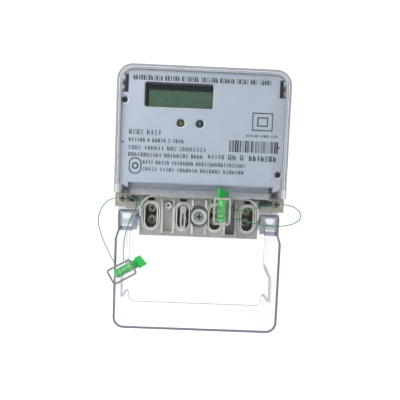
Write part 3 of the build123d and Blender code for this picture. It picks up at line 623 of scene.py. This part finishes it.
# Painted shade: grey strips along the terminal cover's outline and round its ears, where the clear edges read
# dark
def make_outer_shade_strips():
    ear = [(-EAR_INNER, EAR_TOP), (-60.6, EAR_TOP)] + corner_points(-60.6, 6.8, 2.2, 90, 180, 4)
    ear += [(-62.8, -6.8), (-64.8, COVER_SHOULDER)]
    shape = bmesh.new()
    add_strip(shape, cover_line(COVER_HALF, COVER_BOTTOM, 7.7), 1.9)
    add_strip(shape, ear, 1.6)
    add_strip(shape, [(-x, z) for x, z in ear], 1.6)
    new_piece("cover_edge_shade", mesh_of("cover_edge_shade", shape), SHADE_GREY)


def make_rear_shade_line():
    """Painted shade: a grey line along the cover's rear edge, and grey rods along the edge of its side
    notches above it.
    """
    end = COVER_NOTCH_END
    shape = bmesh.new()
    line = [(-COVER_REAR_HALF, end)] + cover_line(COVER_REAR_HALF, -75.3, 4.8)[2:-2]
    line.append((COVER_REAR_HALF, end))
    add_ribbon(shape, line, 0.85, REAR_DEPTH, REAR_DEPTH - STRIP_LIFT)
    for side in (-1, 1):
        add_route_tube(shape, [(side * 58.6, 2, -12.6), (side * 58.4, 2, -36.5), (side * 61.2, 22, -42.0),
                               (side * 61.2, 22, -64.8)], 0.3 * MM)
    new_piece("cover_rear_shade_line", mesh_of("cover_rear_shade_line", shape), SHADE_GREY)


def make_notch_end_shade():
    """Painted shade: a short grey rod along the edge at the lower end of each side notch."""
    shape = bmesh.new()
    for side in (-1, 1):
        add_route_tube(shape, [(side * 61.8, 22, -65.6), (side * 59.4, 2, -65.2)], 0.9 * MM)
    new_piece("cover_notch_end_shade", mesh_of("cover_notch_end_shade", shape), SHADE_GREY)


def make_ear_shade():
    """Shading of the ears, on four sides of their holes."""
    behind = COVER_STRIP_FRONT - 0.1 * MM
    bars = ((50.6, 4.2, 50.6, -6.0, 4.6), (61.4, 6.6, 61.4, -6.6, 2.2),
            (52.0, 8.0, 61.0, 8.0, 2.2), (52.0, -5.2, 62.0, -5.2, 3.6))
    shape = bmesh.new()
    for side in (-1, 1):
        for x0, z0, x1, z1, width in bars:
            add_ribbon(shape, [(side * x0, z0), (side * x1, z1)], width, behind, behind - 0.04 * MM)
    new_piece("cover_ear_shade", mesh_of("cover_ear_shade", shape), EAR_SHADE)


def body_line(inset):
    """The front cover's outline, drawn in by the given distance in mm, open at the bottom."""
    foot = 30.0 if inset > 1 else 24.0
    radius = BODY_CORNER - inset
    side = BODY_HALF - inset
    centre_x = BODY_HALF - BODY_CORNER
    centre_z = BODY_TOP - BODY_CORNER
    line = [(-side, foot), (-side, 108.0)]
    line += corner_points(-centre_x, centre_z, radius, 180, 90)
    line += corner_points(centre_x, centre_z, radius, 90, 0)
    return line + [(side, 108.0), (side, foot)]


def make_body_edges():
    """Strips of painted shade along the outer edge and the inner wall of the front cover, a painted highlight
    line inside the edge, and a painted shade band across the cover's lower band.
    """
    front = FACE_DEPTH + STRIP_LIFT
    strips = (("body_edge_shade_line", SHADE_PALE, 0.4, 0.7, front),
              ("body_inner_highlight", BEVEL_HIGHLIGHT, 1.9, 0.45, front),
              ("body_rear_shade_line", SHADE_PALE, 3.3, 0.6, CARRIER_DEPTH),
              ("body_side_shade", SIDE_SHADE, 1.5, 3.0, front - 0.1 * MM))
    for name, material, inset, width, depth in strips:
        shape = bmesh.new()
        add_ribbon(shape, body_line(inset), width, depth, depth - 0.04 * MM)
        new_piece(name, mesh_of(name, shape), material)
    shape = bmesh.new()
    band = BAND_DEPTH + 0.08 * MM
    add_ribbon(shape, [(-54.0, 24.3), (54.0, 24.3)], 4.6, band, band - 0.04 * MM)
    new_piece("body_lower_shade", mesh_of("body_lower_shade", shape), SIDE_SHADE)


def make_seal_edges():
    """Painted shade along the border of each clear seal body, darker on the left seal than on the right."""
    for side, material, middle, tilt, front in (("left", SEAL_EDGE_SHADE_DARK, (-58.2, -38.1), 60.0, 54.55 * MM),
                                                ("right", SEAL_EDGE_SHADE_LIGHT, (17.1, 12.4), 0.0, 57.22 * MM)):
        angle = math.radians(tilt)

        def place(x, z):
            return (middle[0] + x * math.cos(angle) + z * math.sin(angle),
                    middle[1] - x * math.sin(angle) + z * math.cos(angle))

        line = []
        for x, z, start in ((-4.5, 8.2, 180), (4.5, 8.2, 90), (4.5, -8.2, 0), (-4.5, -8.2, -90)):
            line += corner_points(x, z, 1.5, start, start - 90, 4)
        line.append(line[0])
        shape = bmesh.new()
        add_ribbon(shape, line, 1.5, front, front - 0.04 * MM, place)
        new_piece(f"seal_edges_{side}", mesh_of(f"seal_edges_{side}", shape), material)


make_outer_shade_strips()
make_rear_shade_line()
make_notch_end_shade()
make_ear_shade()
make_body_edges()
make_seal_edges()

# ------------------------------------------------------------------- printing

PRINT_THICK = 0.03 * MM
PRINT_BACK = -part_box("nameplate_label")[0].y
PRINT_FRONT = PRINT_BACK + PRINT_THICK


def add_mark(shape, x, z, width, height, stroke):
    """One abstract letter-like mark: bars and a short crossbar, never a real letter."""
    kind = random.randrange(5)

    def bar(x0, x1, z0, z1):
        add_box(shape, x0 * MM, x1 * MM, PRINT_FRONT, PRINT_BACK, z0 * MM, z1 * MM)

    if kind in (0, 1, 2):
        bar(x, x + stroke, z, z + height)
        bar(x + width - stroke, x + width, z, z + height * (0.72 if kind else 1.0))
        level = z + height * (0.2, 0.45, 0.62)[kind]
        bar(x + stroke, x + width - stroke, level, level + stroke * 0.8)
    elif kind == 3:
        bar(x + width * 0.3, x + width * 0.3 + stroke, z, z + height)
        bar(x + width * 0.3 + stroke, x + width, z + height * 0.3, z + height * 0.3 + stroke * 0.8)
    else:
        for level in (0.0, 0.38, 0.76):
            bar(x, x + width, z + height * level, z + height * level + stroke * 0.8)


def add_print_line(shape, x0, x1, z, height, words, stroke):
    """A line of abstract marks in words of the given numbers of marks, spread from x0 to x1."""
    count = sum(words) + 0.7 * (len(words) - 1)
    step = (x1 - x0) / count
    x = x0
    for word in words:
        for _ in range(word):
            add_mark(shape, x, z, step * 0.72, height, stroke)
            x += step
        x += step * 0.7


def make_title():
    shape = bmesh.new()
    add_print_line(shape, -54.0, 51.4, 109.6, 3.6, (12, 6, 7, 7, 6, 5, 3, 5), 0.8)
    new_piece("print_title", mesh_of("print_title", shape), PRINT_INK)


def make_text_lines():
    shape = bmesh.new()
    lines = ((-56.3, -30.9, 68.4, 4.0, (4, 4), 0.75), (-56.3, -13.9, 62.9, 3.1, (6, 1, 5, 1, 4), 0.66),
             (-56.5, 3.7, 56.9, 3.3, (4, 6, 3, 8), 0.66), (-56.4, 1.2, 51.6, 3.1, (11, 8, 4), 0.66),
             (4.9, 17.8, 52.0, 3.3, (5,), 0.66), (-45.2, 34.4, 46.0, 3.1, (4, 5, 8, 18), 0.62),
             (-45.0, 33.2, 40.8, 2.9, (5, 5, 7, 7, 7), 0.62), (33.3, 57.7, 69.9, 1.9, (4, 3, 5, 4), 0.45))
    for x0, x1, z, height, words, stroke in lines:
        add_print_line(shape, x0, x1, z, height, words, stroke)
    new_piece("print_lines", mesh_of("print_lines", shape), PRINT_INK)


def make_serial():
    shape = bmesh.new()
    add_print_line(shape, 20.4, 33.0, 51.5, 4.3, (2, 1), 0.8)
    add_print_line(shape, 36.4, 58.0, 51.5, 4.2, (7,), 1.0)
    new_piece("print_serial", mesh_of("print_serial", shape), PRINT_INK)


def make_bar_pattern():
    """A row of upright bars of mixed widths that encode nothing."""
    shape = bmesh.new()
    x = 20.9
    while x < 57.4:
        width = random.choice((0.35, 0.35, 0.6, 0.6, 0.95, 1.3))
        add_box(shape, x * MM, (x + width) * MM, PRINT_FRONT, PRINT_BACK, 57.9 * MM, 66.9 * MM)
        x += width + random.choice((0.35, 0.5, 0.8, 1.1))
    new_piece("print_bars", mesh_of("print_bars", shape), PRINT_INK)


def add_outline(shape, points, stroke):
    """A closed outline of even width through the given points, x and z in mm."""
    centre = Vector((sum(p[0] for p in points) / len(points), sum(p[1] for p in points) / len(points)))
    loops = []
    for depth in (PRINT_FRONT, PRINT_BACK):
        for grow in (stroke / 2, -stroke / 2):
            loop = []
            for i, p in enumerate(points):
                a = Vector(points[i - 1])
                b = Vector(points[(i + 1) % len(points)])
                here = Vector(p)
                out = ((here - a).normalized() + (here - b).normalized())
                out = out.normalized() if out.length > 1e-6 else (here - centre).normalized()
                half_angle = (a - here).angle(b - here) / 2
                x, z = here + out * grow / max(0.3, math.sin(half_angle))
                loop.append(shape.verts.new((x * MM, -depth, z * MM)))
            loops.append(loop)
    outer_front, inner_front, outer_back, inner_back = loops
    count = len(points)
    for i in range(count):
        j = (i + 1) % count
        shape.faces.new((outer_front[i], outer_front[j], inner_front[j], inner_front[i]))
        shape.faces.new((inner_back[i], inner_back[j], outer_back[j], outer_back[i]))
        shape.faces.new((outer_back[i], outer_back[j], outer_front[j], outer_front[i]))
        shape.faces.new((inner_front[i], inner_front[j], inner_back[j], inner_back[i]))


def rounded_points(x0, x1, z0, z1, radius, steps=6):
    points = []
    corners = ((x1 - radius, z0 + radius, -90), (x1 - radius, z1 - radius, 0),
               (x0 + radius, z1 - radius, 90), (x0 + radius, z0 + radius, 180))
    for x, z, start in corners:
        for i in range(steps + 1):
            angle = math.radians(start + 90 * i / steps)
            points.append((x + radius * math.cos(angle), z + radius * math.sin(angle)))
    return points


def make_plain_marks():
    """Two plain marks: a square within a square, and a rounded frame round a dot."""
    shape = bmesh.new()
    add_outline(shape, [(38.0, 75.2), (53.0, 75.2), (53.0, 88.2), (38.0, 88.2)], 0.85)
    add_outline(shape, [(41.8, 78.6), (49.2, 78.6), (49.2, 84.8), (41.8, 84.8)], 0.95)
    add_outline(shape, rounded_points(-55.3, -46.4, 38.6, 50.3, 4.0), 0.9)
    add_outline(shape, rounded_points(-52.8, -48.9, 42.4, 46.5, 1.9), 1.2)
    for x in (-61.6, 58.0):
        add_box(shape, x * MM, (x + 1.5) * MM, PRINT_FRONT, PRINT_BACK, 61.6 * MM, 63.1 * MM)
    new_piece("print_marks", mesh_of("print_marks", shape), PRINT_INK)


def add_arc(shape, x, z, inner, outer, start, end, front, steps=14):
    """A flat arc on the label, swept between two angles in degrees."""
    rings = []
    for i in range(steps + 1):
        angle = math.radians(start + (end - start) * i / steps)
        ring = []
        for radius, depth in ((inner, front), (outer, front), (outer, PRINT_BACK), (inner, PRINT_BACK)):
            ring.append(shape.verts.new(((x + radius * math.cos(angle)) * MM, -depth,
                                         (z + radius * math.sin(angle)) * MM)))
        rings.append(ring)
    for a, b in zip(rings, rings[1:]):
        for i in range(4):
            j = (i + 1) % 4
            shape.faces.new((a[i], a[j], b[j], b[i]))
    shape.faces.new(rings[0])
    shape.faces.new(list(reversed(rings[-1])))


HOLES = ((-17.0, 78.2, 3.2), (-2.4, 78.2, 3.2), (-60.2, 94.3, 2.6), (59.4, 41.6, 2.6))


def make_hole_rims():
    """Raised rims of the round holes: a painted highlight arc below on the right, a painted shade arc above.
    """
    for name, material, start, end, width in (("hole_rims_painted_highlight", HIGHLIGHT_SILVER, -110, 30, 0.5),
                                              ("hole_rims_shaded", SHADE_GREY, 50, 230, 0.3)):
        shape = bmesh.new()
        for x, z, radius in HOLES:
            add_arc(shape, x, z, radius, radius + width, start, end, PRINT_BACK + 0.06 * MM)
        new_piece(name, mesh_of(name, shape), material)


def make_hole_shade_discs():
    """Dark discs of painted shade at the bottom of the two holes in the side strips."""
    shape = bmesh.new()
    for x, z, _ in HOLES[2:]:
        bmesh.ops.create_cone(shape, cap_ends=True, segments=32, radius1=2.2 * MM, radius2=2.2 * MM,
                              depth=0.4 * MM, matrix=Matrix.Translation((x * MM, -46.6 * MM, z * MM))
                              @ Matrix.Rotation(math.radians(90), 4, "X"))
    new_piece("hole_shade_discs", mesh_of("hole_shade_discs", shape), MATERIALS["dark_moulding"])


make_title()
make_hole_rims()
make_hole_shade_discs()
make_text_lines()
make_serial()
make_bar_pattern()
make_plain_marks()

# ------------------------------------------------------------------- display


def make_polariser_with_painted_shadow():
    """Green film on the display glass, short of the edge at the top and the left; the bare dark glass left
    there is a painted shadow of the window's rim.
    """
    glass_low, glass_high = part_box("lcd_glass")
    shape = bmesh.new()
    front = -glass_low.y + 0.12 * MM
    add_box(shape, glass_low.x + 4.2 * MM, glass_high.x - 0.4 * MM, front, -glass_low.y,
            glass_low.z + 0.4 * MM, glass_high.z - 7.2 * MM)
    new_piece("display_film", mesh_of("display_film", shape), POLARISER)


make_polariser_with_painted_shadow()

# ----------------------------------------------------------- floor and light

FLOOR_CLEARANCE = 60 * MM


def make_floor():
    """A pale floor that sweeps up into a backdrop."""
    level = cad_box[0].z - FLOOR_CLEARANCE
    half = 2.6
    profile = [(-2.4, 0.0)]
    radius = 0.8
    edge = 1.2
    steps = 14
    for i in range(steps + 1):
        angle = math.radians(90 * i / steps)
        profile.append((edge + radius * math.sin(angle), radius * (1 - math.cos(angle))))
    profile.append((edge + radius, 3.0))
    shape = bmesh.new()
    rows = [[shape.verts.new((x, y, level + z)) for x in (-half, 0, half)] for y, z in profile]
    for a, b in zip(rows, rows[1:]):
        for i in (0, 1):
            face = shape.faces.new((a[i], a[i + 1], b[i + 1], b[i]))
            face.smooth = True
    floor = bpy.data.objects.new("pale_floor", mesh_of("pale_floor", shape))
    bpy.context.scene.collection.objects.link(floor)
    floor.data.materials.append(finish_material("pale_paper", linear(222, 222, 223), 0.8, spread=0.01,
                                                patch=3.0, grain=300.0))


def add_light(name, place, size, power, aim=(0.0, -0.03, 0.02)):
    data = bpy.data.lights.new(name, "AREA")
    data.shape = "RECTANGLE"
    data.size, data.size_y = size
    data.energy = power
    light = bpy.data.objects.new(name, data)
    bpy.context.scene.collection.objects.link(light)
    light.location = place
    light.rotation_mode = "QUATERNION"
    light.rotation_quaternion = (Vector(aim) - Vector(place)).to_track_quat("-Z", "Y")


def make_world():
    world = bpy.data.worlds.new("studio_air")
    world.use_nodes = True
    background = world.node_tree.nodes["Background"]
    background.inputs["Color"].default_value = (0.93, 0.96, 1.0, 1.0)
    background.inputs["Strength"].default_value = 0.5
    bpy.context.scene.world = world


make_floor()
make_world()
add_light("key_softbox", (-0.55, -0.60, 0.45), (0.5, 0.5), 10.5)
add_light("fill_softbox", (0.9, -0.7, 0.35), (0.8, 0.8), 2.0)
add_light("top_softbox", (0.0, -0.1, 1.1), (0.9, 0.7), 5.5)
add_light("backdrop_light_left", (-1.3, 0.5, 1.6), (0.9, 0.9), 24.0, aim=(0.0, 1.9, 0.3))
add_light("backdrop_light_right", (1.3, 0.5, 1.6), (0.9, 0.9), 24.0, aim=(0.0, 1.9, 0.3))
bounces = bpy.context.scene.cycles
bounces.max_bounces = 32
bounces.transmission_bounces = 32
bounces.glossy_bounces = 12
bpy.context.scene.view_settings.view_transform = "Standard"
